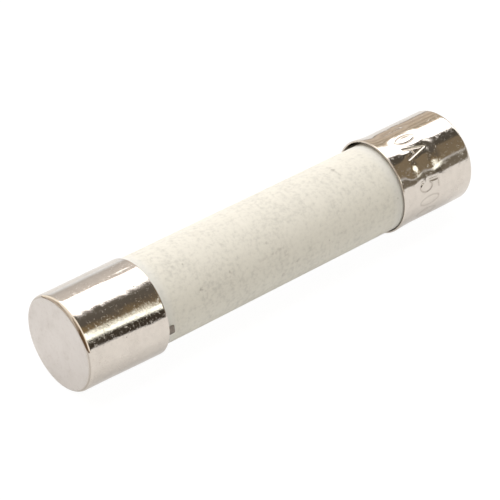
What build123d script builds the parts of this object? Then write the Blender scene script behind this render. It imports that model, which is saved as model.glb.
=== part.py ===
"""Ceramic cartridge fuse of the quarter-inch by one-and-a-quarter-inch size, sand filled, as separate pieces.

The fuse lies along X with its middle at the origin: the plain cap is at -X and the stamped cap at +X.
One punched metal strip runs slantwise through the sand from the front of the left end to the back of the
right end. It is folded over the tube's rims there, and the caps trap its two tails on the tube.
"""

import os
from math import atan2, cos, degrees, radians, sin

from build123d import *

# Overall size of the cartridge (millimetres, as everything here)
fuse_length = 31.75
cap_radius = 6.35 / 2

# End caps: drawn brass cups
cap_wall = 0.13
cap_corner_radius = 0.2
left_cap_length = 5.95
right_cap_length = 6.2
mouth_flare = 0.05  # how far the right cap's mouth opens out
flare_length = 1.1
cap_shift = 0.06  # each cap sits this far off the tube's axis, on opposite sides
cap_shift_angle = 61.6  # direction of the right cap's shift, from +Y towards +Z

# Ceramic tube
tube_radius = 2.98
bore_radius = 2.0
tube_length = 30.4
tube_edge_chamfer = 0.12

# Fuse strip: one punched ribbon with its ends folded over the tube's rims
strip_width = 0.7
strip_thickness = 0.08
strip_bore_offset = 1.65  # from the axis to the strip where it enters the bore
bend_radius = 0.12
left_tail_showing = 0.45  # how far the left tail runs out past its cap
right_tail_hidden = 0.9  # how far the right tail stops short of its cap's mouth
tail_crown_radius = 2.6  # the tails' outer faces, whose edges the caps press down
fold_angle = 7.0  # turn of the strip's plane about X, from -Y towards -Z at the left tail
neck_count = 4
neck_pitch = 4.4
neck_notch_radius = 0.22

# Tin bead on the strip's middle
bead_length = 1.8
bead_height = 0.26

# Fibre discs that keep the sand in, and the solder behind them
disc_thickness = 0.8
disc_recess = 0.2  # from the tube's end to the disc
slit_clearance = 0.02
solder_floor_radius = 2.85
solder_rim_radius = 2.3
solder_dome_sag = 0.06  # how far the solder's face in the bore bellies out halfway along its radius
meniscus_radius = 0.66

# Cement between tube and cap, on the wide side of the gap
cement_recess = 1.6  # from the cap's mouth
cement_length = 3.2
cement_half_angle = 110
tail_room_margin = 1.0  # how far the cut that clears the strip's tail runs past the cement

half_length = fuse_length / 2
half_tube = tube_length / 2
floor_x = half_length - cap_wall
tail_half_angle = degrees(strip_width / 2 / tube_radius)


def rod(radius, start, end):
    """Cylinder along X from start to end."""
    return Pos((start + end) / 2, 0, 0) * Rot(0, 90, 0) * Cylinder(radius, abs(end - start))


def sector(inner, outer, start, end, first_angle, sweep):
    """Part of a ring about X, from first_angle (measured from +Y towards +Z) round through sweep degrees."""
    section = make_face(
        Polyline((start, inner), (end, inner), (end, outer), (start, outer), close=True)
    )
    return Rot(first_angle, 0, 0) * revolve(section, axis=Axis.X, revolution_arc=sweep)


def shift_of(side):
    """Where a cap's axis lies: the left cap is shifted against cap_shift_angle and the right cap along it."""
    angle = radians(cap_shift_angle)
    return Pos(0, side * cap_shift * cos(angle), side * cap_shift * sin(angle))


def end_cap(side, length, flare):
    """Drawn cup, closed at its outer end, with a rounded corner and a mouth that can flare."""
    mouth = half_length - length
    inner_corner = cap_corner_radius - cap_wall
    inner_radius = cap_radius - cap_wall
    with BuildPart() as cup:
        with BuildSketch(Plane.XY):
            with BuildLine():
                face = Line((half_length, 0), (half_length, cap_radius - cap_corner_radius))
                corner = RadiusArc(
                    face @ 1, (half_length - cap_corner_radius, cap_radius), -cap_corner_radius
                )
                Polyline(
                    corner @ 1,
                    (mouth + flare_length, cap_radius),
                    (mouth, cap_radius + flare),
                    (mouth, inner_radius + flare),
                    (mouth + flare_length, inner_radius),
                    (floor_x - inner_corner, inner_radius),
                )
                inside = RadiusArc(
                    (floor_x - inner_corner, inner_radius),
                    (floor_x, inner_radius - inner_corner),
                    inner_corner,
                )
                Polyline(inside @ 1, (floor_x, 0), (half_length, 0))
            make_face()
        revolve(axis=Axis.X)
    turn = Rot(0, 0, 0) if side > 0 else Rot(0, 0, 180)
    return shift_of(side) * turn * cup.part


def ceramic_tube():
    """Plain fired tube with its four end edges broken."""
    tube = rod(tube_radius, -half_tube, half_tube) - rod(bore_radius, -half_tube, half_tube)
    return chamfer(tube.edges().filter_by(GeomType.CIRCLE), tube_edge_chamfer)


def strip_route():
    """Points of the strip's middle line in its own plane, from one tube rim to the other."""
    end_x = half_tube + strip_thickness / 2
    outside = tube_radius + strip_thickness / 2
    return [
        (-end_x, -outside),
        (-end_x, -strip_bore_offset),
        (end_x, strip_bore_offset),
        (end_x, outside),
    ]


def strip_slope():
    """Slant of the strip inside the bore, in degrees about Z."""
    route = strip_route()
    return degrees(atan2(route[2][1] - route[1][1], route[2][0] - route[1][0]))


def strip_tail(start, end, middle_angle):
    """Tail that lies on the tube, with an outer face a little rounder than the tube's."""
    outer = tube_radius + strip_thickness
    tail = sector(
        tube_radius, outer, start, end, middle_angle - tail_half_angle, 2 * tail_half_angle
    )
    crown = Pos(0, outer - tail_crown_radius, 0) * rod(tail_crown_radius, start, end)
    return tail & (Rot(middle_angle, 0, 0) * crown)


def fuse_strip():
    """Ribbon with necks punched from both edges, and a curved tail that lies on the tube at each end."""
    with BuildPart() as ribbon:
        with BuildSketch(Plane.XY):
            with BuildLine():
                FilletPolyline(*strip_route(), radius=bend_radius)
            trace(line_width=strip_thickness)
        extrude(amount=strip_width / 2, both=True)
    strip = ribbon.part
    notch = Rot(90, 0, 0) * Cylinder(neck_notch_radius, 4 * strip_thickness)
    for index in range(neck_count):
        along = (index - (neck_count - 1) / 2) * neck_pitch
        for edge in (-1, 1):
            strip -= Rot(0, 0, strip_slope()) * Pos(along, 0, edge * strip_width / 2) * notch
    left_end = -(half_length - left_cap_length) + left_tail_showing
    right_end = half_length - right_cap_length + right_tail_hidden
    rim = half_tube + strip_thickness
    strip += strip_tail(-rim, left_end, 180)
    strip += strip_tail(right_end, rim, 0)
    return Rot(fold_angle, 0, 0) * strip


def tin_bead():
    """Low bead of tin on one face of the strip, at its middle."""
    with BuildPart() as lens:
        with BuildSketch(Plane.XY):
            with BuildLine():
                ends = (bead_length / 2, 0)
                ThreePointArc((-ends[0], 0), (0, bead_height), ends)
                Line(ends, (-ends[0], 0))
            make_face()
        revolve(axis=Axis.X)
    room = Box(2 * bead_length, bead_length, 2 * bead_length)
    above = Pos(0, (bead_length + strip_thickness) / 2, 0) * room
    return Rot(fold_angle, 0, strip_slope()) * (lens.part & above)


def fibre_disc(side):
    """Hard fibre disc pressed in the bore, slit for the strip."""
    outer_x = half_tube - disc_recess
    disc = rod(bore_radius, side * outer_x, side * (outer_x - disc_thickness))
    slit_height = strip_thickness + 2 * slit_clearance
    slit_width = strip_width + 2 * slit_clearance
    return disc - Rot(fold_angle, 0, strip_slope()) * Box(fuse_length, slit_height, slit_width)


def solder_pool(side, strip):
    """Solder that fills the cap's floor, wets the folded strip and domes into the bore."""
    dome_edge = bore_radius - tube_edge_chamfer
    dome_x = half_tube - disc_recess
    with BuildPart() as pool:
        with BuildSketch(Plane.XY):
            with BuildLine():
                belly = (dome_x + solder_dome_sag, dome_edge / 2)
                ThreePointArc((dome_x, 0), belly, (half_tube, dome_edge))
                flat = Line((half_tube, dome_edge), (half_tube, solder_rim_radius))
                meniscus = RadiusArc(flat @ 1, (floor_x, solder_floor_radius), meniscus_radius)
                Polyline(meniscus @ 1, (floor_x, 0), (dome_x, 0))
            make_face()
        revolve(axis=Axis.X)
    turn = Rot(0, 0, 0) if side > 0 else Rot(0, 0, 180)
    return turn * pool.part - strip


def cement(side, length):
    """Cement in the wide side of the gap between tube and cap, stopped short of the mouth."""
    start = side * (half_length - length + cement_recess)
    end = start + side * cement_length
    gap = shift_of(side) * rod(cap_radius - cap_wall, start, end) - rod(tube_radius, start, end)
    wide_side = cap_shift_angle + (0 if side > 0 else 180)
    low, high = sorted((start, end))
    inner, outer = tube_radius / 2, 2 * tube_radius
    keep = sector(inner, outer, low, high, wide_side - cement_half_angle, 2 * cement_half_angle)
    tail_angle = fold_angle + (0 if side > 0 else 180)
    low, high = low - tail_room_margin, high + tail_room_margin
    tail_room = sector(inner, outer, low, high, tail_angle - tail_half_angle, 2 * tail_half_angle)
    return (gap & keep) - tail_room


def sand_filling(strip, bead):
    """Packed quartz sand between the discs, round the strip and its bead."""
    end_x = half_tube - disc_recess - disc_thickness
    return rod(bore_radius, -end_x, end_x) - strip - bead


def main():
    strip = fuse_strip()
    bead = tin_bead()
    pieces = {
        "left_end_cap": end_cap(-1, left_cap_length, 0),
        "right_end_cap": end_cap(1, right_cap_length, mouth_flare),
        "ceramic_tube": ceramic_tube(),
        "fuse_strip": strip,
        "tin_bead": bead,
        "quartz_sand": sand_filling(strip, bead),
        "left_fibre_disc": fibre_disc(-1),
        "right_fibre_disc": fibre_disc(1),
        "left_solder": solder_pool(-1, strip),
        "right_solder": solder_pool(1, strip),
        "left_cement": cement(-1, left_cap_length),
        "right_cement": cement(1, right_cap_length),
    }
    os.makedirs("parts", exist_ok=True)
    for name, piece in pieces.items():
        export_step(piece, f"parts/{name}.step")


main()
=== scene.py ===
"""Ceramic cartridge fuse: plated end caps, fired tube and punched strip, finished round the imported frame.

Every new piece is a surface worked out as whole arrays: rings of points carried along a profile or a path.
Lengths in this file are millimetres unless a name says otherwise, and meshes are written in metres.
Angles round the fuse are measured from the front horizon (-Y) up through +Z, in degrees.
"""

import bpy
import numpy as np
from bpy.props import FloatProperty, FloatVectorProperty, PointerProperty, StringProperty
from bpy.types import Operator, Panel, PropertyGroup
from mathutils import Matrix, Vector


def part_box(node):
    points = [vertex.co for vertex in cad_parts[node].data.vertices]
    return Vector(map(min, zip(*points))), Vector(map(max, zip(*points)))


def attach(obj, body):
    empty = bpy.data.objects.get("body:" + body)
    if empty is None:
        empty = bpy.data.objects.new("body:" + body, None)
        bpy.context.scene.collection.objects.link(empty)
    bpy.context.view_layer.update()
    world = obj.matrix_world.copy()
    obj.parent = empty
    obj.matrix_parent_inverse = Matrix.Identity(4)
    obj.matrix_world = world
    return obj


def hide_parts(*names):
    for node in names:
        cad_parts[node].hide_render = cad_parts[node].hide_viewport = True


bl_info = {
    "name": "Cartridge fuse",
    "version": (1, 0, 0),
    "blender": (4, 5, 0),
    "location": "3D View > Sidebar > Fuse",
    "description": "Finishes a sand-filled ceramic cartridge fuse round its packed frame",
    "category": "Object",
}

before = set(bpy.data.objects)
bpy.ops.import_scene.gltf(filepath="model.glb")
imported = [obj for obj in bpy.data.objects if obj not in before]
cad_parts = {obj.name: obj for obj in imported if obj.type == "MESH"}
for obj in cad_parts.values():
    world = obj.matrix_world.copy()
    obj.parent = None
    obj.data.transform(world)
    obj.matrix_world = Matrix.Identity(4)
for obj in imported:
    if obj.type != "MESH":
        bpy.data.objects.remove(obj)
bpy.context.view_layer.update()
MM = 1000.0  # millimetres in a metre
BODY = "root"


def corners(node):
    """Lowest and highest corner of a CAD node, in millimetres."""
    low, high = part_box(node)
    return np.array(low) * MM, np.array(high) * MM


def linear(colour_hex):
    """An sRGB hex colour as linear red, green and blue."""
    code = colour_hex.lstrip("#")
    srgb = np.array([int(code[i : i + 2], 16) for i in (0, 2, 4)]) / 255
    return tuple(np.where(srgb <= 0.04045, srgb / 12.92, ((srgb + 0.055) / 1.055) ** 2.4))


TUBE_LOW, TUBE_HIGH = corners("ceramic_tube")
LEFT_LOW, LEFT_HIGH = corners("left_end_cap")
RIGHT_LOW, RIGHT_HIGH = corners("right_end_cap")
HALF_LENGTH = float(RIGHT_HIGH[0])
TUBE_RADIUS = float(TUBE_HIGH[2] - TUBE_LOW[2]) / 2
CAP_RADIUS = float(LEFT_HIGH[2] - LEFT_LOW[2]) / 2
MOUTH_FLARE = float(RIGHT_HIGH[2] - RIGHT_LOW[2]) / 2 - CAP_RADIUS


# Sizes and colours that a user would change


def length(name, description, default):
    """A length property kept in millimetres."""
    described = description + ", in millimetres"
    return FloatProperty(name=name, description=described, default=default, precision=3)


def colour(name, description, default):
    """A colour property, given as an sRGB hex value and kept linear."""
    return FloatVectorProperty(
        name=name, description=description, default=linear(default), subtype="COLOR", min=0.0, max=1.0
    )


class FuseSizes(PropertyGroup):
    cap_wall: length("Cap wall", "Thickness of the drawn cups", 0.13)
    cap_corner: length("Cap corner", "Radius between a cap's face and its side", 0.3)
    flare_length: length("Flare length", "How much of the right cap opens out at its mouth", 1.1)
    tail_bulge: length("Tail bulge", "How far the trapped strip pushes out the left cap's mouth", 0.13)
    mouth_lift: length("Mouth lift", "How far the right cap's mouth stands up at the back", 0.06)
    stamp_depth: length("Stamp depth", "Depth of the struck characters", 0.032)
    stamp_height: length("Stamp height", "Height of the struck characters along the cap", 1.6)
    stamp_width: length("Stamp width", "Width of the struck characters round the cap", 0.8)
    stamp_pitch: length("Stamp pitch", "Distance from one struck character to the next", 1.1)
    stamp_line: length("Stamp line", "Width of a struck line", 0.105)
    stamp_from_mouth: length("Stamp from mouth", "From the cap's mouth to the middle of the characters", 2.3)
    dish_depth: length("Dish depth", "How far the wall sinks round the struck characters", 0.045)
    dish_radius: length("Dish radius", "How far from a struck line the wall sinks", 0.34)
    bore_radius: length("Bore radius", "Radius of the tube's bore", 2.0)
    tube_edge: length("Tube edge", "Rounding of the tube's end edges", 0.12)
    strip_width: length("Strip width", "Width of the punched strip", 0.7)
    strip_thickness: length("Strip thickness", "Thickness of the punched strip", 0.08)
    strip_bend: length("Strip bend", "Radius of the strip's folds", 0.12)
    strip_offset: length("Strip offset", "Distance from the axis at which the strip leaves the bore", 1.65)
    neck_radius: length("Neck radius", "Radius of the half-round holes at each neck", 0.22)
    neck_pitch: length("Neck pitch", "Distance from one neck to the next", 4.4)
    tail_showing: length("Tail showing", "How far the left tail comes out of its cap", 0.6)
    tail_hidden: length("Tail hidden", "How far the right tail's end lies inside its cap", 0.9)
    tail_slant: length("Tail slant", "How far the left tail's end is cut out of square", 0.06)
    fold_angle: FloatProperty(
        name="Fold angle",
        description="Angle of the folded tails below the front horizon",
        default=float(np.radians(7.0)),
        subtype="ANGLE",
    )


class FuseColours(PropertyGroup):
    nickel: colour("Nickel", "Bright nickel plate", "#D9D1C8")
    ceramic: colour("Ceramic", "Fired steatite", "#EDEAE1")
    satin: colour("Satin", "Nickel plate on the caps' faces", "#DAD4CF")
    # also the colour of the painted dark reflection along the caps' corners
    tarnish_and_corner_shade: colour("Tarnish", "Dulled plate and dirt in the struck lines", "#6F604D")
    handling: colour("Handling", "Grey marks rubbed on the tube", "#9B948A")
    tin: colour("Tin", "Tinned copper strip", "#81786F")
    solder: colour("Solder", "Soft tin solder", "#B9BABD")
    sand: colour("Sand", "Quartz sand", "#D8CDB4")
    fibre: colour("Fibre", "Vulcanised fibre", "#8A5E45")
    cement: colour("Cement", "Cap cement", "#B0A998")
    clean: colour("Clean", "Steatite beside the caps, where no hand reaches", "#EAEAE8")
    paper: colour("Paper", "Backing sheet under the fuse", "#FFFFFF")
    table: colour("Table", "Wood past the sheet's left edge", "#5B4632")


class FuseMarking(PropertyGroup):
    rating: StringProperty(
        name="Rating", description="Generic rating struck into the right cap", default="10A 500V"
    )
    first_angle: FloatProperty(
        name="First angle",
        description="Where the first character lies, in degrees above the front",
        default=100.0,
    )
    space: FloatProperty(
        name="Space", description="Width of a space, in pitches", default=1.35, subtype="FACTOR"
    )


# Meshes


def solid_from_rings(name, rings, poles=None):
    """Closed mesh from closed rings of points.

    Each ring is joined to the next by quads. With poles, a point closes each end with a fan of triangles;
    without them the last ring is joined to the first. Faces are turned outwards by the sign of the volume.
    """
    count, around, _ = rings.shape
    index = np.arange(count * around).reshape(count, around)
    following = index[1:] if poles is not None else np.roll(index, -1, axis=0)
    here = index[:-1] if poles is not None else index
    beside = np.roll(index, -1, axis=1)
    beside_following = np.roll(following, -1, axis=1)
    quads = np.stack([here, beside[: len(here)], beside_following, following], -1).reshape(-1, 4)
    points = rings.reshape(-1, 3)
    fans = np.zeros((0, 3), int)
    if poles is not None:
        points = np.vstack([points, poles])
        first, last = len(points) - 2, len(points) - 1
        start = np.stack([np.full(around, first), beside[0], index[0]], -1)
        end = np.stack([np.full(around, last), index[-1], beside[-1]], -1)
        fans = np.vstack([start, end])
    halves = np.vstack([quads[:, :3], quads[:, [0, 2, 3]], fans])
    a, b, c = (points[halves[:, k]] for k in range(3))
    if np.einsum("ij,ij->i", a, np.cross(b, c)).sum() < 0:
        quads, fans = quads[:, ::-1], fans[:, ::-1]
    mesh = bpy.data.meshes.new(name)
    mesh.from_pydata((points / MM).tolist(), [], quads.tolist() + fans.tolist())
    mesh.polygons.foreach_set("use_smooth", np.ones(len(mesh.polygons), bool))
    mesh.update()
    piece = bpy.data.objects.new(name, mesh)
    bpy.context.scene.collection.objects.link(piece)
    return piece


def arc(centre, radii, start, end, count=13):
    """Points of an elliptical arc between two angles in degrees."""
    turn = np.radians(np.linspace(start, end, count))
    return np.stack([centre[0] + radii[0] * np.cos(turn), centre[1] + radii[1] * np.sin(turn)], -1)


def run(start, end, step):
    """Evenly spaced points of a straight run, without its last point."""
    start, end = np.array(start, float), np.array(end, float)
    count = max(1, int(np.ceil(np.linalg.norm(end - start) / step)))
    return start + (end - start) * (np.arange(count) / count)[:, None]


def around_x(profile, angles, centre, normals=None, relief=None, lift=0.0):
    """Rings of a profile (distance along X, radius) turned about X.

    Relief moves each point along the profile's normals, and lift adds to its radius.
    """
    along, radius = profile[:, :1], profile[:, 1:]
    if relief is not None:
        along = along + normals[:, :1] * relief
        radius = radius + normals[:, 1:] * relief
    radius = radius + lift
    turn = np.radians(angles)[None, :]
    along = np.broadcast_to(along, (len(profile), len(angles)))
    return np.stack(
        [along, centre[0] - radius * np.cos(turn), centre[1] + radius * np.sin(turn)], -1
    )


def smooth_step(value, low, high):
    """0 below low, 1 above high, and a smooth cubic between."""
    part = np.clip((value - low) / (high - low), 0, 1)
    return part * part * (3 - 2 * part)


# End caps


def cap_profile(sizes, depth, flare):
    """Closed profile of a drawn cup from the middle of its face, round the lip, to the middle of its floor.

    The first value is the distance from the cup's face, the second the radius. Straight runs join quarter
    circles at the two corners and a half circle at the lip; the mouth opens as a cubic.
    """
    wall, corner = sizes.cap_wall, sizes.cap_corner
    side = CAP_RADIUS
    flare_from = depth - sizes.flare_length
    lip = depth - wall / 2
    fine, coarse = 0.028, 0.12
    band = sizes.stamp_height / 2 + 2 * sizes.stamp_line
    middle = depth - sizes.stamp_from_mouth
    inner_corner = corner - wall
    outer = [
        run((0, 0.1), (0, side - corner), coarse),
        arc((corner, side - corner), (corner, corner), 180, 90, 12)[:-1],
        run((corner, side), (middle - band, side), coarse),
        run((middle - band, side), (middle + band, side), fine if flare else coarse),
        run((middle + band, side), (lip, side), coarse / 2),
        arc((lip, side - wall / 2), (wall / 2, wall / 2), 90, -90, 9)[:-1],
    ]
    inner = [
        run((lip, side - wall), (wall + inner_corner, side - wall), 2 * coarse),
        arc((corner, side - corner), (inner_corner, inner_corner), 90, 180, 5)[:-1],
        run((wall, side - corner), (wall, 0.1), 3 * coarse),
        np.array([(wall, 0.1)]),
    ]
    profile = np.vstack(outer + inner)
    opened = smooth_step(profile[:, 0], flare_from, depth) * flare
    profile[:, 1] += np.where(profile[:, 1] > 1, opened, 0)
    direction = np.gradient(profile, axis=0)
    direction /= np.linalg.norm(direction, axis=1)[:, None]
    normals = np.stack([-direction[:, 1], direction[:, 0]], -1)
    outside = np.arange(len(profile)) < sum(len(part) for part in outer[:5])
    return profile, normals, outside


def ripples(along, turn, strength):
    """Slight unevenness of drawn sheet: the sum of strength sin(a along + k turn + p) / |k|."""
    waves = ((1.1, 2, 0.3), (1.9, -3, 1.7), (2.7, 5, 4.1), (3.8, -7, 2.2), (0.6, 9, 5.0))
    return strength * sum(np.sin(a * along + k * turn + p) / abs(k) for a, k, p in waves)


def dings(along, angles, radius, places):
    """Shallow dents, in millimetres: the sum of -depth exp(-(x / half length)^2 - (s / half width)^2).

    Here x is counted along the axis and s round it, from each dent's own place.
    """
    total = np.zeros(np.broadcast_shapes(along.shape, angles.shape))
    for x, angle, half_length, half_width, depth in places:
        round_it = np.radians((angles - angle + 180) % 360 - 180) * radius
        total -= depth * np.exp(-(((along - x) / half_length) ** 2) - (round_it / half_width) ** 2)
    return total


def scattered_dings(seed, count, start, end):
    """Many faint dents spread over a cap by a seeded generator, in the form that dings reads."""
    chance = np.random.default_rng(seed)
    return np.stack(
        [
            chance.uniform(start, end, count),
            chance.uniform(0, 360, count),
            chance.uniform(0.2, 0.7, count),
            chance.uniform(0.15, 0.4, count),
            chance.uniform(0.001, 0.005, count),
        ],
        -1,
    )


GLYPHS = {
    "1": [np.array([(0.18, 0.76), (0.5, 1), (0.5, 0)])],
    "0": [arc((0.5, 0.5), (0.44, 0.5), 0, 360, 33)],
    "5": [
        np.vstack(
            [[(0.86, 1), (0.2, 1), (0.12, 0.56)], arc((0.44, 0.32), (0.44, 0.32), 130, -150, 23)]
        )
    ],
    "A": [np.array([(0, 0), (0.5, 1), (1, 0)]), np.array([(0.2, 0.36), (0.8, 0.36)])],
    "V": [np.array([(0, 1), (0.5, 0), (1, 1)])],
}


def distance_to_line(across, up, line):
    """Distance from every point of a grid to a polyline: the least over its segments."""
    nearest = np.full(across.shape, np.inf)
    for (x0, y0), (x1, y1) in zip(line[:-1], line[1:]):
        dx, dy = x1 - x0, y1 - y0
        part = np.clip(((across - x0) * dx + (up - y0) * dy) / (dx * dx + dy * dy), 0, 1)
        nearest = np.minimum(nearest, np.hypot(across - x0 - part * dx, up - y0 - part * dy))
    return nearest


def distance_to_rating(sizes, marking, from_mouth, angles):
    """Distance from every point of the cap's side to the nearest struck line of the rating."""
    up = from_mouth[:, None] - sizes.stamp_from_mouth + sizes.stamp_height / 2
    nearest = np.full((len(from_mouth), len(angles)), np.inf)
    angle = marking.first_angle
    pitch = np.degrees(sizes.stamp_pitch / CAP_RADIUS)
    for character in marking.rating:
        if character in GLYPHS:
            across = np.radians(angle - angles)[None, :] * CAP_RADIUS + sizes.stamp_width / 2
            for line in GLYPHS[character]:
                scaled = line * (sizes.stamp_width, sizes.stamp_height)
                to_line = distance_to_line(*np.broadcast_arrays(across, up), scaled)
                nearest = np.minimum(nearest, to_line)
        angle -= pitch * (marking.space if character == " " else 1)
    return nearest


def stamp_relief(sizes, nearest):
    """Relief of the struck rating: a groove along each line, a low burr beside it and a wide dish round it.

    Each is a Gaussian of the distance to the nearest line; the burr's is centred beside the groove.
    """
    half_line = sizes.stamp_line / 2
    groove = np.exp(-((nearest / half_line) ** 2))
    burr = np.exp(-(((nearest - 1.9 * half_line) / (0.7 * half_line)) ** 2))
    dish = np.exp(-((nearest / sizes.dish_radius) ** 2))
    return sizes.stamp_depth * (0.25 * burr - groove) - sizes.dish_depth * dish


def store(piece, name, values):
    """Keeps one value per vertex on a piece, for its material to read."""
    attribute = piece.data.attributes.new(name, "FLOAT", "POINT")
    padded = np.zeros(len(piece.data.vertices), np.float32)
    padded[: values.size] = values.ravel()
    attribute.data.foreach_set("value", padded)


CORNER_REACH = 0.3  # how much of a cap's length its rounded corner takes up, in millimetres
CAP_SIDE = float(LEFT_HIGH[0] - LEFT_LOW[0]) - CORNER_REACH  # length of the straight side from the mouth
FINE_SECTOR = (-75.0, 125.0)  # angles between which a cap is cut finely, for its dents and its rating
FINE_TURN, COARSE_TURN = 0.52, 2.5  # degrees between points inside that sector and outside it
LEFT_RIPPLE, RIGHT_RIPPLE = 0.0022, 0.0026  # height of the caps' long waves, in millimetres
LEFT_SEED, RIGHT_SEED, FAINT_DENTS = 5, 9, 70
# The trapped tail's bulge fades over this distance from the mouth, and over angles above and below the tail
BULGE_LENGTH, BULGE_ABOVE, BULGE_BELOW = (-1.0, 6.0), (-2.0, 43.0), (-95.0, -25.0)
# The die bit hardest at one angle and less by this width either side, down to the least share
BITE_ANGLE, BITE_WIDTH, BITE_LEAST = 52.0, 32.0, 0.45
# The right cap's mouth stands up round one angle, over a width in degrees and a length in millimetres
LIFT_ANGLE, LIFT_WIDTH, LIFT_LENGTH = 125.0, 45.0, 1.4
# Dents of the left cap and of the right one: place along X, angle, half length, half width, depth
LEFT_DINGS = (
    (-14.2, 57.0, 0.35, 0.3, 0.012), (-11.0, 88.2, 1.1, 0.14, 0.013), (-12.6, 47.0, 0.5, 0.3, 0.006),
    (-11.7, 61.0, 0.3, 0.25, 0.006), (-13.5, 62.0, 0.25, 0.2, 0.003), (-15.0, 60.0, 0.25, 0.3, 0.005),
    (-10.6, 61.0, 0.3, 0.25, 0.005),
)
RIGHT_DINGS = (
    (10.9, 39.3, 0.6, 0.52, 0.088), (12.4, 40.6, 0.7, 0.78, 0.072), (12.9, 57.0, 0.45, 0.5, 0.03),
    (10.9, 83.0, 0.9, 0.35, 0.016),
)
STRUCK = "struck"
HANDLED = "handled"


def build_cap(sizes, name, low, high, side, relief_of):
    """Drawn cup turned about its own axis; side is -1 for the left cap and 1 for the right one."""
    depth = float(high[0] - low[0])
    centre = ((low + high) / 2)[1:]
    flare = MOUTH_FLARE if side > 0 else 0.0
    profile, normals, outside = cap_profile(sizes, depth, flare)
    first, last = FINE_SECTOR
    fine = run((first, 0), (last, 0), FINE_TURN)[:, 0]
    coarse = run((last, 0), (first + 360, 0), COARSE_TURN)[:, 0]
    angles = np.concatenate([fine, coarse])
    relief, struck, lift = relief_of(depth - profile[:, 0], angles)
    rings = around_x(profile, angles, centre, normals, relief * outside[:, None], lift)
    rings[..., 0] = side * (HALF_LENGTH - rings[..., 0])
    face = (side * HALF_LENGTH, *centre)
    floor = (side * (HALF_LENGTH - sizes.cap_wall), *centre)
    cap = solid_from_rings(name, rings, np.array([face, floor]))
    store(cap, STRUCK, struck * outside[:, None])
    return cap


def left_relief(sizes):
    """Relief of the left cap: ripples, dents, and a bulge over the trapped tail that grows to the mouth.

    Relief is the height along the wall's normals, and lift moves the whole wall away from the axis.
    """

    def relief(from_mouth, angles):
        wrapped = (angles + 180) % 360 - 180
        near_mouth = 1 - smooth_step(from_mouth, *BULGE_LENGTH)
        over_tail = (1 - smooth_step(wrapped, *BULGE_ABOVE)) * smooth_step(wrapped, *BULGE_BELOW)
        bulge = sizes.tail_bulge * near_mouth[:, None] * over_tail[None, :]
        side = smooth_step(CAP_SIDE - from_mouth, 0, 0.5)[:, None]
        along = float(LEFT_HIGH[0]) - from_mouth[:, None]
        faint = scattered_dings(LEFT_SEED, FAINT_DENTS, LEFT_LOW[0], LEFT_HIGH[0])
        uneven = ripples(from_mouth[:, None], np.radians(angles)[None, :], LEFT_RIPPLE)
        uneven += dings(along, angles[None, :], CAP_RADIUS, LEFT_DINGS)
        uneven += dings(along, angles[None, :], CAP_RADIUS, faint)
        return side * uneven, np.zeros((len(from_mouth), len(angles))), bulge

    return relief


def right_relief(sizes, marking):
    """Relief of the right cap: the struck rating, the dents beside it, ripples and a lifted mouth."""

    def relief(from_mouth, angles):
        side = smooth_step(CAP_SIDE - from_mouth, 0, 0.5)[:, None]
        nearest = distance_to_rating(sizes, marking, from_mouth, angles)
        along = float(RIGHT_LOW[0]) + from_mouth[:, None]
        faint = scattered_dings(RIGHT_SEED, FAINT_DENTS, RIGHT_LOW[0], RIGHT_HIGH[0])
        uneven = ripples(from_mouth[:, None], np.radians(angles)[None, :] + 2.0, RIGHT_RIPPLE)
        uneven += dings(along, angles[None, :], CAP_RADIUS, RIGHT_DINGS)
        uneven += dings(along, angles[None, :], CAP_RADIUS, faint)
        off_bite = (angles - BITE_ANGLE) / BITE_WIDTH
        bite = BITE_LEAST + (1 - BITE_LEAST) * np.exp(-(off_bite**2))
        struck = side * bite * np.exp(-((nearest / (0.6 * sizes.stamp_line)) ** 2))
        near_mouth = 1 - smooth_step(from_mouth, 0.0, LIFT_LENGTH)
        off_lift = (angles - LIFT_ANGLE) / LIFT_WIDTH
        lift = sizes.mouth_lift * near_mouth[:, None] * np.exp(-(off_lift**2))
        return side * (bite * stamp_relief(sizes, nearest) + uneven), struck, lift

    return relief


# Tube and strip


# Grey marks rubbed on the tube: place along X, angle, half length, half width, strength
TUBE_MARKS = (
    (-6.95, 25.0, 0.22, 0.1, 0.9), (-6.6, 17.0, 0.1, 0.35, 0.35), (-4.6, 27.0, 0.09, 0.16, 1.0),
    (-4.95, 23.5, 0.1, 0.1, 0.7), (-4.7, 15.0, 0.12, 0.4, 0.25), (-3.0, 17.0, 0.12, 0.1, 0.5),
    (-1.9, 23.5, 0.3, 0.1, 0.5), (-1.1, 25.0, 0.25, 0.09, 0.5), (-0.5, 27.0, 0.2, 0.1, 0.5),
    (-0.2, 17.5, 0.14, 0.16, 0.8), (-0.5, -9.5, 0.14, 0.14, 0.7), (0.6, 0.5, 0.2, 0.1, 0.5),
    (-8.1, 66.0, 0.1, 0.12, 0.6), (-7.3, 65.0, 0.1, 0.1, 0.3), (-5.4, 54.5, 0.12, 0.08, 0.5),
    (-1.4, 40.0, 0.1, 0.08, 0.5), (6.2, 90.0, 0.13, 0.22, 1.0), (6.15, 80.0, 0.12, 0.25, 0.35),
    (4.4, 48.0, 0.1, 0.1, 0.6), (7.0, 34.5, 0.14, 0.08, 0.5), (4.5, 9.0, 0.25, 0.1, 0.45),
    (8.7, 54.0, 0.08, 0.12, 0.5), (7.9, 47.0, 0.08, 0.12, 0.4), (1.7, 11.5, 0.12, 0.1, 0.4),
    (-7.9, 140.0, 0.3, 0.12, 0.6), (2.5, 165.0, 0.15, 0.3, 0.7), (5.9, 210.0, 0.35, 0.12, 0.5),
    (-2.2, 250.0, 0.2, 0.15, 0.7), (0.9, 118.0, 0.12, 0.2, 0.5),
)


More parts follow.
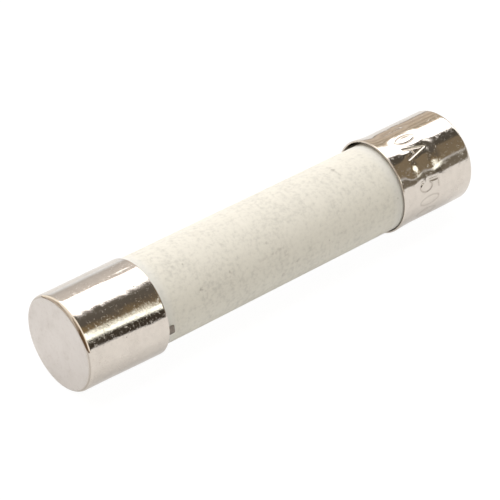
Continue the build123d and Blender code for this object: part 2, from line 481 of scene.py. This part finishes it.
TUBE_WAVES, TUBE_RIPPLE = 0.3, 0.0006  # stretch of the tube's long waves, and their share of its radius
TUBE_TURN = 1.5  # degrees between the tube's points
STRIP_STEP = 0.045  # distance between the strip's sections, in millimetres
SECTION_POINTS, EDGE_POWER, FLAT_POWER = 24, 0.35, 0.5  # the strip's superellipse
TIP_SHARE, TIP_ROUNDING = 0.92, 0.08  # width of the strip's very ends as a share, and how far that reaches


def build_tube(sizes):
    """Fired tube: a closed profile (bore, rounded ends, outside) turned about X, microns out of true."""
    end, edge = float(TUBE_HIGH[0]), sizes.tube_edge
    outer, bore = TUBE_RADIUS, sizes.bore_radius
    quarter = (edge, edge)
    profile = np.vstack(
        [
            run((-end + edge, outer), (end - edge, outer), 0.1),
            arc((end - edge, outer - edge), quarter, 90, 0, 7)[:-1],
            run((end, outer - edge), (end, bore + edge), 0.2),
            arc((end - edge, bore + edge), quarter, 0, -90, 7)[:-1],
            run((end - edge, bore), (-end + edge, bore), 0.6),
            arc((-end + edge, bore + edge), quarter, -90, -180, 7)[:-1],
            run((-end, bore + edge), (-end, outer - edge), 0.2),
            arc((-end + edge, outer - edge), quarter, 180, 90, 7)[:-1],
        ]
    )
    angles = np.arange(0, 360, TUBE_TURN)
    rings = around_x(profile, angles, (0.0, 0.0))
    out_of_true = 1 + ripples(profile[:, :1] * TUBE_WAVES, np.radians(angles)[None, :], TUBE_RIPPLE)
    rings[..., 1:] *= out_of_true[..., None]
    tube = solid_from_rings("tube_body", rings)
    rubbed = -dings(profile[:, :1], angles[None, :], outer, TUBE_MARKS)
    store(tube, HANDLED, rubbed * (profile[:, 1:] > outer - edge))
    return tube


def rounded_path(points, radius, step):
    """Path through points with tangent arcs of one radius at its corners."""
    points = [np.array(point, float) for point in points]
    pieces, start = [], points[0]
    for before, corner, after in zip(points, points[1:], points[2:]):
        into = (corner - before) / np.linalg.norm(corner - before)
        out = (after - corner) / np.linalg.norm(after - corner)
        half_turn = np.arccos(np.clip(into @ out, -1, 1)) / 2
        cut = radius * np.tan(half_turn)
        centre = corner + (out - into) / np.linalg.norm(out - into) * radius / np.cos(half_turn)
        first, last = corner - into * cut, corner + out * cut
        spoke, sweep = first - centre, np.linspace(0, 2 * half_turn, 9)[:-1, None]
        bend = centre + spoke * np.cos(sweep) + into * radius * np.sin(sweep)
        pieces += [run(start, first, step), bend]
        start = last
    pieces += [run(start, points[-1], step), points[-1][None]]
    return np.vstack(pieces)


def build_strip(sizes):
    """Punched ribbon: a rounded oblong section carried along its folded path.

    The section is a superellipse whose half width drops by a circle's chord at each neck. On the tails it
    bends to the tube's radius, and the left tail's end is sheared out of square.
    """
    half_width, half_thick = sizes.strip_width / 2, sizes.strip_thickness / 2
    out, rim, inside = TUBE_RADIUS + half_thick, float(TUBE_HIGH[0]) + half_thick, sizes.strip_offset
    left_end = float(LEFT_HIGH[0]) + sizes.tail_showing
    right_end = float(RIGHT_LOW[0]) + sizes.tail_hidden
    plan = [(left_end, -out), (-rim, -out), (-rim, -inside), (rim, inside), (rim, out), (right_end, out)]
    path = rounded_path(plan, sizes.strip_bend, STRIP_STEP)
    direction = np.gradient(path, axis=0)
    direction /= np.linalg.norm(direction, axis=1)[:, None]
    normal = np.stack([-direction[:, 1], direction[:, 0]], -1)
    from_middle = np.hypot(*path.T) * np.sign(path[:, 0])
    in_bore = np.abs(path[:, 1]) < inside
    to_neck = (from_middle + sizes.neck_pitch * 2) % sizes.neck_pitch - sizes.neck_pitch / 2
    necked = in_bore & (np.abs(from_middle) < 2 * sizes.neck_pitch)
    chord = np.sqrt(np.clip(sizes.neck_radius**2 - to_neck**2, 0, None))
    from_start = np.arange(len(path)) * STRIP_STEP
    to_tip = np.minimum(from_start, from_start[::-1])
    rounded = TIP_SHARE + (1 - TIP_SHARE) * smooth_step(to_tip, 0, TIP_ROUNDING)
    width = (half_width - np.where(necked, chord, 0)) * rounded
    turn = np.linspace(0, 2 * np.pi, SECTION_POINTS, endpoint=False)[None, :]
    across = np.sign(np.cos(turn)) * np.abs(np.cos(turn)) ** EDGE_POWER * width[:, None]
    thick = np.sign(np.sin(turn)) * np.abs(np.sin(turn)) ** FLAT_POWER * half_thick
    on_tube = smooth_step(np.abs(path[:, 1]), out - 0.1, out - 0.01)[:, None]
    sag = across**2 / (2 * TUBE_RADIUS) * on_tube
    shear = -sizes.tail_slant * (1 - smooth_step(from_start, 0, 0.5))[:, None] * across / half_width
    along = path[:, :1] + normal[:, :1] * thick + shear
    side = path[:, 1:] + normal[:, 1:] * thick - np.sign(path[:, 1:]) * sag
    cosine, sine = np.cos(sizes.fold_angle), np.sin(sizes.fold_angle)
    rings = np.stack([along, side * cosine - across * sine, side * sine + across * cosine], -1)
    middle = rings.mean(axis=1)
    return solid_from_rings("punched_strip", rings, np.array([middle[0], middle[-1]]))


# Materials


def add(tree, kind, sockets=None, stops=None, **settings):
    """Adds a shader node: settings are set, sockets take values or links, and stops fill a colour ramp.

    The kind leaves out its first word, and a node given to a socket stands for its first output.
    """
    made = tree.nodes.new("ShaderNode" + kind)
    for key, value in settings.items():
        setattr(made, key, value)
    for key, value in (sockets or {}).items():
        if isinstance(value, bpy.types.Node):
            value = value.outputs[0]
        if isinstance(value, bpy.types.NodeSocket):
            tree.links.new(value, made.inputs[key])
        else:
            made.inputs[key].default_value = value
    if stops:
        elements = made.color_ramp.elements
        while len(elements) < len(stops):
            elements.new(0.5)
        for element, (place, shade) in zip(elements, stops):
            element.position = place
            element.color = (*shade, 1) if isinstance(shade, tuple) else (shade, shade, shade, 1)
    return made


def new_material(name):
    """An empty material with a surface shader, and its object coordinates turned to millimetres."""
    material = bpy.data.materials.new(name)
    material.use_nodes = True
    tree = material.node_tree
    tree.nodes.clear()
    shader = add(tree, "BsdfPrincipled")
    add(tree, "OutputMaterial", {"Surface": shader.outputs["BSDF"]})
    coordinates = add(tree, "TexCoord")
    place = add(tree, "VectorMath", {0: coordinates.outputs["Object"], "Scale": MM}, operation="SCALE")
    return material, tree, shader, place.outputs["Vector"]


def nickel_plate(colours):
    """Bright nickel plate over drawn and tumbled brass.

    It gives a near mirror with a warm tone, faint rings of the drawing tool, fine grain, scattered pits
    that catch the light in dark reflections, scuffed and dulled patches, grime in the struck lines, a
    painted brownish reflection of the dark room along the corner, and a satin, finely mottled end face
    where the cup sat on the punch.
    """
    material, tree, shader, place = new_material("bright_nickel_plate")
    axes = add(tree, "SeparateXYZ", {0: place})
    along = add(tree, "Math", {0: axes.outputs["X"]}, operation="ABSOLUTE")
    face = add(
        tree,
        "MapRange",
        {"Value": along, "From Min": HALF_LENGTH - 0.05, "From Max": HALF_LENGTH - 0.01},
        interpolation_type="SMOOTHSTEP",
    )
    # drawing rings: 0.18 mm apart along the cap, coarser than real so that they show, and long round it
    stretched = add(tree, "VectorMath", {0: place, 1: (1.0, 0.12, 0.12)}, operation="MULTIPLY")
    rings = add(tree, "TexNoise", {"Vector": stretched, "Scale": 1 / 0.18, "Detail": 3.0})
    # grain of the tumbled brass: 0.15 mm, coarser than real so that it shows
    grain = add(tree, "TexNoise", {"Vector": place, "Scale": 1 / 0.15, "Detail": 4.0, "Roughness": 0.65})
    # pits: one in each 0.4 mm cell, 0.14 mm across, only inside the dulled patches
    cells = add(tree, "TexVoronoi", {"Vector": place, "Scale": 1 / 0.4})
    pit = add(
        tree,
        "MapRange",
        {"Value": cells.outputs["Distance"], "From Min": 0.18, "From Max": 0.0},
        interpolation_type="SMOOTHSTEP",
    )
    # dulled patches: 1.3 mm
    patches = add(tree, "TexNoise", {"Vector": place, "Scale": 1 / 1.3, "Detail": 6.0, "Roughness": 0.6})
    dulled = add(tree, "MapRange", {"Value": patches, "From Min": 0.47, "From Max": 0.66})
    pitted = add(tree, "Math", {0: pit, 1: dulled}, operation="MULTIPLY")
    # scuffs: 0.2 mm patches of fine scratches
    scuffs = add(tree, "TexNoise", {"Vector": place, "Scale": 1 / 0.2, "Detail": 5.0, "Roughness": 0.75})
    scuffed = add(tree, "MapRange", {"Value": scuffs, "From Min": 0.52, "From Max": 0.68})
    # mottling: 0.45 mm
    mottle = add(tree, "TexNoise", {"Vector": place, "Scale": 1 / 0.45, "Detail": 5.0})
    nickel, tarnish_and_corner_shade = np.array(colours.nickel), np.array(colours.tarnish_and_corner_shade)
    clean = add(
        tree,
        "ValToRGB",
        {"Fac": mottle},
        stops=[(0.3, tuple(nickel * 0.96)), (0.5, tuple(nickel)), (0.7, tuple(nickel * 1.03))],
    )
    faced = add(
        tree,
        "Mix",
        {"Factor": face, "A": clean.outputs["Color"], "B": (*colours.satin, 1)},
        data_type="RGBA",
    )
    haze = add(tree, "Math", {0: dulled, 1: 0.05}, operation="MULTIPLY")
    hazed = add(
        tree, "Mix", {"Factor": haze, "A": faced.outputs["Result"], "B": (*tarnish_and_corner_shade, 1)}, data_type="RGBA"
    )
    struck = add(tree, "Attribute", attribute_name=STRUCK)
    # painted reflection of the dark room: a brownish line, 0.07 mm wide, where the side turns into the face
    turns = [
        add(
            tree,
            "MapRange",
            {"Value": along, "From Min": HALF_LENGTH - low, "From Max": HALF_LENGTH - high},
            interpolation_type="SMOOTHSTEP",
        )
        for low, high in ((0.14, 0.08), (0.01, 0.07))
    ]
    corner = add(tree, "Math", {0: turns[0], 1: turns[1]}, operation="MULTIPLY")
    # the painted corner reflection, added to the grime in the struck lines
    darkened = add(tree, "Math", {0: corner, 1: 0.7, 2: struck.outputs["Fac"]}, operation="MULTIPLY_ADD")
    corner_shade_and_dirt = add(tree, "Math", {0: darkened, 1: 0.5}, operation="MULTIPLY")
    tone = add(
        tree, "Mix", {"Factor": corner_shade_and_dirt, "A": hazed.outputs["Result"], "B": (*tarnish_and_corner_shade, 1)}, data_type="RGBA"
    )
    satin = add(tree, "MapRange", {"Value": face.outputs["Result"], "To Min": 0.05, "To Max": 0.33})
    duller = add(tree, "Math", {0: scuffed, 1: 0.3, 2: satin}, operation="MULTIPLY_ADD")
    clouded = add(tree, "Math", {0: dulled, 1: 0.09, 2: duller}, operation="MULTIPLY_ADD")
    rough = add(tree, "Math", {0: struck.outputs["Fac"], 1: 0.25, 2: clouded}, operation="MULTIPLY_ADD")
    ring_bump = add(tree, "Bump", {"Strength": 0.3, "Distance": 0.000002, "Height": rings})
    grain_bump = add(
        tree, "Bump", {"Strength": 0.5, "Distance": 0.000005, "Height": grain, "Normal": ring_bump}
    )
    pit_bump = add(
        tree,
        "Bump",
        {"Strength": 1.0, "Distance": 0.000016, "Height": pitted, "Normal": grain_bump},
        invert=True,
    )
    for socket, source in (
        ("Base Color", tone.outputs["Result"]),
        ("Roughness", rough.outputs[0]),
        ("Normal", pit_bump.outputs[0]),
    ):
        tree.links.new(source, shader.inputs[socket])
    shader.inputs["Metallic"].default_value = 1.0
    return material


def fired_ceramic(colours):
    """Unglazed steatite, pressed and fired.

    It gives matt ivory with a fine mottled grain, faint drag lines round it, a few iron specks, grey rubbed
    marks, and a cleaner band beside each cap.
    """
    material, tree, shader, place = new_material("fired_steatite")
    axes = add(tree, "SeparateXYZ", {0: place})
    # mottled grain: 0.25 mm patches down to 0.01 mm
    mottle = add(tree, "TexNoise", {"Vector": place, "Scale": 1 / 0.25, "Detail": 5.0, "Roughness": 0.65})
    # drag lines: 0.35 mm apart along the tube and five times as long round it, over 2 mm clouds
    stretched = add(tree, "VectorMath", {0: place, 1: (1.0, 0.2, 0.2)}, operation="MULTIPLY")
    drag = add(tree, "TexNoise", {"Vector": stretched, "Scale": 1 / 0.35, "Detail": 4.0})
    clouds = add(tree, "TexNoise", {"Vector": place, "Scale": 1 / 2.0, "Detail": 3.0})
    fine = add(tree, "Mix", {"Factor": 0.22, "A": mottle, "B": drag}, data_type="FLOAT")
    mixed = add(tree, "Mix", {"Factor": 0.22, "A": fine, "B": clouds}, data_type="FLOAT")
    ceramic = np.array(colours.ceramic)
    fired = add(
        tree,
        "ValToRGB",
        {"Fac": mixed},
        stops=[(0.36, tuple(ceramic * 0.85)), (0.5, tuple(ceramic)), (0.62, tuple(ceramic * 1.04))],
    )
    # clean bands: 1 mm wide beside the caps' mouths
    gaps = [
        add(
            tree,
            "MapRange",
            {"Value": axes.outputs["X"], "From Min": float(mouth) + inward * 1.0, "From Max": float(mouth)},
            interpolation_type="SMOOTHSTEP",
        )
        for mouth, inward in ((LEFT_HIGH[0], 1), (RIGHT_LOW[0], -1))
    ]
    both = add(tree, "Math", {0: gaps[0], 1: gaps[1]}, operation="ADD")
    clean = add(tree, "Math", {0: both, 1: 0.6}, operation="MULTIPLY")
    cleaned = add(
        tree,
        "Mix",
        {"Factor": clean, "A": fired.outputs["Color"], "B": (*colours.clean, 1)},
        data_type="RGBA",
    )
    # specks: 0.12 mm across, in two of every five 1.2 mm cells
    cells = add(tree, "TexVoronoi", {"Vector": place, "Scale": 1 / 1.2})
    speck = add(
        tree, "MapRange", {"Value": cells.outputs["Distance"], "From Min": 0.07, "From Max": 0.03}
    )
    chance = add(tree, "SeparateColor", {0: cells.outputs["Color"]})
    chosen = add(tree, "Math", {0: chance.outputs["Red"], 1: 0.6}, operation="GREATER_THAN")
    speckled = add(tree, "Math", {0: speck, 1: chosen}, operation="MULTIPLY")
    # rubbed marks, broken up by the mottled grain
    handled = add(tree, "Attribute", attribute_name=HANDLED)
    broken = add(tree, "MapRange", {"Value": mottle, "From Min": 0.62, "From Max": 0.4, "To Max": 0.7})
    rubbed = add(tree, "Math", {0: handled.outputs["Fac"], 1: broken}, operation="MULTIPLY")
    darkened = add(tree, "Math", {0: speckled, 1: 0.5, 2: rubbed}, operation="MULTIPLY_ADD")
    soil = add(tree, "Math", {0: darkened, 1: 0.75}, operation="MINIMUM")
    tone = add(
        tree,
        "Mix",
        {"Factor": soil, "A": cleaned.outputs["Result"], "B": (*colours.handling, 1)},
        data_type="RGBA",
    )
    rough = add(tree, "MapRange", {"Value": clouds, "To Min": 0.55, "To Max": 0.8})
    bump = add(tree, "Bump", {"Strength": 0.6, "Distance": 0.000012, "Height": mottle})
    for socket, source in (
        ("Base Color", tone.outputs["Result"]),
        ("Roughness", rough.outputs["Result"]),
        ("Normal", bump.outputs[0]),
    ):
        tree.links.new(source, shader.inputs[socket])
    shader.inputs["Diffuse Roughness"].default_value = 0.25
    shader.inputs["Specular IOR Level"].default_value = 0.3
    return material


def granular(name, shade, size, spread, roughness, metallic=0.0, depth=0.00001):
    """A grained surface: noise of one real size, in millimetres, turns the colour lighter and darker by
    the spread and raises a bump, whose depth is in metres."""
    material, tree, shader, place = new_material(name)
    grain = add(tree, "TexNoise", {"Vector": place, "Scale": 1 / size, "Detail": 5.0})
    shade = np.array(shade)
    tone = add(
        tree,
        "ValToRGB",
        {"Fac": grain},
        stops=[(0.3, tuple(shade * (1 - spread))), (0.7, tuple(np.minimum(1, shade * (1 + spread))))],
    )
    bump = add(tree, "Bump", {"Strength": 0.6, "Distance": depth, "Height": grain})
    tree.links.new(tone.outputs["Color"], shader.inputs["Base Color"])
    tree.links.new(bump.outputs[0], shader.inputs["Normal"])
    shader.inputs["Roughness"].default_value = roughness
    shader.inputs["Metallic"].default_value = metallic
    return material


def finish_piece(piece, material, slot, *replaced):
    """Gives a new piece its material and body, and hides the CAD nodes it stands for. The slot is not used.
    """
    piece.data.materials.append(material)
    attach(piece, BODY)
    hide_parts(*replaced)


# Operators


class FUSE_OT_end_caps(Operator):
    """Build both drawn end caps, the right one with its struck rating"""

    bl_idname = "fuse.end_caps"
    bl_label = "End caps"

    def execute(self, context):
        scene = context.scene
        sizes = scene.fuse_sizes
        plate = nickel_plate(scene.fuse_colours)
        left = build_cap(sizes, "left_cap_shell", LEFT_LOW, LEFT_HIGH, -1, left_relief(sizes))
        finish_piece(left, plate, "nickel_plate", "left_end_cap")
        relief = right_relief(sizes, scene.fuse_marking)
        right = build_cap(sizes, "right_cap_shell", RIGHT_LOW, RIGHT_HIGH, 1, relief)
        finish_piece(right, plate, "nickel_plate", "right_end_cap")
        return {"FINISHED"}


class FUSE_OT_tube(Operator):
    """Build the fired ceramic tube"""

    bl_idname = "fuse.tube"
    bl_label = "Ceramic tube"

    def execute(self, context):
        scene = context.scene
        tube = build_tube(scene.fuse_sizes)
        finish_piece(tube, fired_ceramic(scene.fuse_colours), "fired_ceramic", "ceramic_tube")
        return {"FINISHED"}


class FUSE_OT_strip(Operator):
    """Build the punched fuse strip with its folded tails"""

    bl_idname = "fuse.strip"
    bl_label = "Fuse strip"

    def execute(self, context):
        scene = context.scene
        strip = build_strip(scene.fuse_sizes)
        tinned = granular("tinned_copper", scene.fuse_colours.tin, 0.22, 0.3, 0.34, metallic=1.0)
        finish_piece(strip, tinned, "tinned_strip", "fuse_strip")
        return {"FINISHED"}


class FUSE_OT_filling(Operator):
    """Finish the pieces inside the fuse"""

    bl_idname = "fuse.filling"
    bl_label = "Filling"

    def execute(self, context):
        colours = context.scene.fuse_colours
        finishes = {
            "tin_bead": granular("cast_tin", colours.solder, 0.2, 0.1, 0.3, metallic=1.0, depth=0.000004),
            "quartz_sand": granular("packed_quartz_sand", colours.sand, 0.25, 0.3, 0.85, depth=0.00008),
            "fibre_disc": granular("pressed_fibre", colours.fibre, 0.3, 0.2, 0.7),
            "solder": granular("soft_solder", colours.solder, 0.4, 0.12, 0.35, metallic=1.0),
            "cement": granular("fired_cement", colours.cement, 0.2, 0.2, 0.9, depth=0.00003),
        }
        for node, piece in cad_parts.items():
            for ending, finish in finishes.items():
                if node.endswith(ending):
                    piece.data.materials.clear()
                    piece.data.materials.append(finish)
        return {"FINISHED"}


class FUSE_OT_stage(Operator):
    """Lay the pale floor, light the studio and place the camera"""

    bl_idname = "fuse.stage"
    bl_label = "Stage"

    def execute(self, context):
        build_floor(context.scene.fuse_colours)
        light_studio(context.scene)
        place_camera(context.scene)
        return {"FINISHED"}


# Stage


FLOOR_REACH = 3000.0  # half the sheet's side, in millimetres
SHEET_EDGE = (-37.0, -48.0)  # X over which the mirrored sheet gives way to the table
UNDER_FUSE = (3.0, 9.0)  # distance from the axis over which the sheet comes out of the fuse's shade
DIM_GLOW, OPEN_GLOW = 0.2, 0.36  # emission of the sheet under the fuse and beside it


def build_floor(colours):
    """A wide flat sheet at the fuse's lowest point: a grid of two by two points."""
    ground = float(min(LEFT_LOW[2], RIGHT_LOW[2]))
    ends = [-FLOOR_REACH, FLOOR_REACH]
    across, deep = np.meshgrid(ends, ends)
    points = np.stack([across, deep, np.full((2, 2), ground)], -1).reshape(-1, 3)
    mesh = bpy.data.meshes.new("floor_sheet")
    mesh.from_pydata((points / MM).tolist(), [], [(0, 1, 3, 2)])
    floor = bpy.data.objects.new("floor_sheet", mesh)
    bpy.context.scene.collection.objects.link(floor)
    material, tree, shader, place = new_material("white_backing_paper")
    mirrored, table, seen = (add(tree, "BsdfPrincipled") for _ in range(3))
    sheets = (
        (shader, colours.paper, 0.5, OPEN_GLOW),
        (mirrored, colours.paper, 0.44, 0.5),
        (table, colours.table, 1.0, 0.4),
        (seen, colours.paper, 0.1, 0.95),
    )
    for sheet, shade, share, glow in sheets:
        sheet.inputs["Base Color"].default_value = (*[share * part for part in shade], 1)
        sheet.inputs["Roughness"].default_value = 1.0
        sheet.inputs["Specular IOR Level"].default_value = 0.0
        sheet.inputs["Emission Color"].default_value = (*shade, 1)
        sheet.inputs["Emission Strength"].default_value = glow
    # where it is looked at the sheet is burnt out to white; the plate mirrors it duller, with its left edge
    # and the dark table past that; everything else is lit by it as by paper
    across = add(tree, "SeparateXYZ", {0: place})
    ended = add(
        tree,
        "MapRange",
        {"Value": across.outputs["X"], "From Min": SHEET_EDGE[0], "From Max": SHEET_EDGE[1]},
    )
    # the fuse shades the sheet under itself
    from_axis = add(tree, "Math", {0: across.outputs["Y"]}, operation="ABSOLUTE")
    shaded = add(
        tree,
        "MapRange",
        {
            "Value": from_axis,
            "From Min": UNDER_FUSE[0],
            "From Max": UNDER_FUSE[1],
            "To Min": DIM_GLOW,
            "To Max": OPEN_GLOW,
        },
    )
    tree.links.new(shaded.outputs[0], shader.inputs["Emission Strength"])
    path = add(tree, "LightPath")
    reflected = add(tree, "MixShader", {0: ended, 1: mirrored, 2: table})
    shown = shader.outputs[0]
    for ray, sheet in (("Is Glossy Ray", reflected), ("Is Camera Ray", seen)):
        shown = add(tree, "MixShader", {0: path.outputs[ray], 1: shown, 2: sheet}).outputs[0]
    output = next(node for node in tree.nodes if node.type == "OUTPUT_MATERIAL")
    tree.links.new(shown, output.inputs["Surface"])
    mesh.materials.append(material)


WORLD_GAIN = 2.93  # radiance of the brightest panel
# Studio panels by angle above the front horizon, 0 to 180 degrees, as shares of the brightest one
LEFT_PANELS = [
    (0.0, 0.34), (1.0, 0.34), (2.5, (0.02, 0.016, 0.012)), (21.5, (0.02, 0.017, 0.013)),
    (24.5, (0.7, 0.72, 0.66)), (37.5, (0.7, 0.72, 0.66)), (40.5, (0.095, 0.068, 0.036)),
    (52.0, (0.08, 0.06, 0.034)), (56.0, (0.042, 0.037, 0.031)), (78.0, (0.05, 0.045, 0.038)),
    (82.0, (0.12, 0.11, 0.1)), (85.5, 0.98), (129.0, 0.98), (131.0, (0.225, 0.205, 0.185)),
    (134.0, (0.287, 0.27, 0.255)), (165.0, (0.22, 0.21, 0.2)), (180.0, (0.38, 0.4, 0.42)),
]
RIGHT_PANELS = [
    (0.0, 0.34), (2.0, 0.34), (4.5, (0.08, 0.07, 0.055)), (24.0, (0.065, 0.056, 0.044)),
    (27.0, 0.22), (28.5, 0.22), (31.0, (0.09, 0.072, 0.048)), (62.0, (0.088, 0.07, 0.047)),
    (67.0, (0.034, 0.03, 0.024)), (88.0, (0.036, 0.032, 0.026)), (91.5, 0.98), (124.0, 0.98),
    (128.0, (0.27, 0.23, 0.18)), (136.0, (0.15, 0.13, 0.1)), (141.0, (0.26, 0.225, 0.18)),
    (147.0, (0.16, 0.135, 0.105)), (153.0, (0.29, 0.25, 0.2)), (159.0, (0.19, 0.16, 0.13)),
    (166.0, (0.26, 0.225, 0.185)), (175.5, (0.25, 0.215, 0.185)), (178.0, (0.07, 0.065, 0.055)),
    (180.0, (0.07, 0.065, 0.055)),
]
# How far the left panels lean towards the mouth, by angle, as a share of the lean
LEAN_BY_ANGLE = [
    (0.0, 0.16), (12.0, 0.16), (24.0, 0.25), (32.0, 0.85), (40.0, 1.0), (60.0, 0.55), (84.0, 0.32),
    (130.0, 0.0),
]
# The room beyond the fuse's left end, dark at the front and lit from above, by the same angle
LEFT_WALL = [
    (0.0, (0.07, 0.045, 0.024)), (50.0, (0.07, 0.046, 0.026)), (58.0, (0.16, 0.13, 0.1)),
    (74.0, (0.16, 0.13, 0.1)), (80.0, (0.09, 0.07, 0.05)), (90.0, (0.36, 0.335, 0.3)),
    (125.0, (0.36, 0.335, 0.3)), (132.0, (0.17, 0.15, 0.125)), (150.0, (0.28, 0.25, 0.215)),
    (180.0, (0.32, 0.285, 0.245)),
]
PANEL_LEAN = 15.0  # degrees by which the left cap's panels lean between its face and its mouth
# X of a direction over which the panels lean, give way to the right ones, to the gap and to the left room
LEAN_X, RIGHT_X, GAP_X, ROOM_X = (0.46, 0.492), (0.5, 0.58), (0.16, 0.0), (-0.3, -0.5)
GAP_SHADE = (0.45, 0.42, 0.37)
BACKDROP_GAIN = 1.05


def light_studio(scene):
    """Soft studio light: long panels round the fuse, given by their angle about X, and a white backdrop."""
    world = bpy.data.worlds.new("soft_studio")
    scene.world = world
    world.use_nodes = True
    tree = world.node_tree
    tree.nodes.clear()
    direction = add(tree, "TexCoord")
    axes = add(tree, "SeparateXYZ", {0: direction.outputs["Generated"]})
    front = add(tree, "Math", {0: axes.outputs["Y"], 1: -1.0}, operation="MULTIPLY")
    angle = add(tree, "Math", {0: axes.outputs["Z"], 1: front}, operation="ARCTAN2")
    share = add(tree, "MapRange", {"Value": angle, "From Min": 0.0, "From Max": float(np.pi)})
    lean_along = add(
        tree,
        "MapRange",
        {
            "Value": axes.outputs["X"],
            "From Min": LEAN_X[0],
            "From Max": LEAN_X[1],
            "To Max": PANEL_LEAN / 180,
        },
    )
    lean_up = add(
        tree, "ValToRGB", {"Fac": share}, stops=[(degrees / 180, part) for degrees, part in LEAN_BY_ANGLE]
    )
    leaning = add(tree, "Math", {0: lean_along, 1: lean_up, 2: share}, operation="MULTIPLY_ADD")
    ramps = [
        add(
            tree,
            "ValToRGB",
            {"Fac": place},
            stops=[(degrees / 180, shade) for degrees, shade in panel_list],
        )
        for panel_list, place in (
            (LEFT_PANELS, leaning.outputs[0]),
            (RIGHT_PANELS, share.outputs[0]),
            (LEFT_WALL, share.outputs[0]),
        )
    ]
    rightward, middle, leftward = (
        add(tree, "MapRange", {"Value": axes.outputs["X"], "From Min": start, "From Max": end})
        for start, end in (RIGHT_X, GAP_X, ROOM_X)
    )
    panels = add(
        tree,
        "Mix",
        {"Factor": rightward.outputs["Result"], "A": ramps[0], "B": ramps[1]},
        data_type="RGBA",
    )
    # a lit gap between the panels and the room beyond, met only by mirrored rays
    path = add(tree, "LightPath")
    mirrored = add(tree, "Math", {0: middle, 1: path.outputs["Is Glossy Ray"]}, operation="MULTIPLY")
    opened = add(
        tree,
        "Mix",
        {"Factor": mirrored, "A": panels.outputs["Result"], "B": (*GAP_SHADE, 1)},
        data_type="RGBA",
    )
    walled = add(
        tree, "Mix", {"Factor": leftward, "A": opened.outputs["Result"], "B": ramps[2]}, data_type="RGBA"
    )
    light = add(tree, "Background", {"Color": walled.outputs["Result"], "Strength": WORLD_GAIN})
    backdrop = add(tree, "Background", {"Color": (1, 1, 1, 1), "Strength": BACKDROP_GAIN})
    mixed = add(tree, "MixShader", {0: path.outputs["Is Camera Ray"], 1: light, 2: backdrop})
    add(tree, "OutputWorld", {"Surface": mixed})
    scene.view_settings.view_transform = "Standard"


CAMERA_AZIMUTH, CAMERA_ELEVATION = -40.5, 35.4
CAMERA_DISTANCE = 151.9
CAMERA_AIM = (-0.58, -0.37)  # the aim passes this far right of and above the fuse's middle
CAMERA_LENS = 173.1


def place_camera(scene):
    """Long lens that looks down along the fuse from the front left."""
    azimuth, elevation = np.radians(CAMERA_AZIMUTH), np.radians(CAMERA_ELEVATION)
    right = np.array([np.cos(azimuth), np.sin(azimuth), 0])
    back = np.array(
        [
            np.sin(azimuth) * np.cos(elevation),
            -np.cos(azimuth) * np.cos(elevation),
            np.sin(elevation),
        ]
    )
    up = np.cross(back, right)
    data = bpy.data.cameras.new("camera")
    data.lens = CAMERA_LENS
    data.sensor_width = 36.0
    data.clip_start = 0.001
    camera = bpy.data.objects.new("camera", data)
    scene.collection.objects.link(camera)
    place = (right * CAMERA_AIM[0] + up * CAMERA_AIM[1] + back * CAMERA_DISTANCE) / MM
    matrix = np.eye(4)
    matrix[:3, :3] = np.stack([right, up, back], axis=1)
    matrix[:3, 3] = place
    camera.matrix_world = Matrix(matrix.tolist())
    scene.camera = camera


class FUSE_PT_panel(Panel):
    """Lists the fuse's pieces"""

    bl_idname = "FUSE_PT_panel"
    bl_label = "Cartridge fuse"
    bl_space_type = "VIEW_3D"
    bl_region_type = "UI"
    bl_category = "Fuse"

    def draw(self, context):
        for operator in OPERATORS:
            self.layout.operator(operator.bl_idname)
        for group in (context.scene.fuse_sizes, context.scene.fuse_colours, context.scene.fuse_marking):
            box = self.layout.box()
            for name in group.__annotations__:
                box.prop(group, name)


OPERATORS = (FUSE_OT_end_caps, FUSE_OT_tube, FUSE_OT_strip, FUSE_OT_filling, FUSE_OT_stage)
CLASSES = (FuseSizes, FuseColours, FuseMarking, *OPERATORS, FUSE_PT_panel)


def register():
    for cls in CLASSES:
        bpy.utils.register_class(cls)
    bpy.types.Scene.fuse_sizes = PointerProperty(type=FuseSizes)
    bpy.types.Scene.fuse_colours = PointerProperty(type=FuseColours)
    bpy.types.Scene.fuse_marking = PointerProperty(type=FuseMarking)


def unregister():
    del bpy.types.Scene.fuse_marking
    del bpy.types.Scene.fuse_colours
    del bpy.types.Scene.fuse_sizes
    for cls in reversed(CLASSES):
        bpy.utils.unregister_class(cls)


def main():
    register()
    bpy.ops.fuse.end_caps()
    bpy.ops.fuse.tube()
    bpy.ops.fuse.strip()
    bpy.ops.fuse.filling()
    bpy.ops.fuse.stage()


if __name__ == "__main__":
    main()
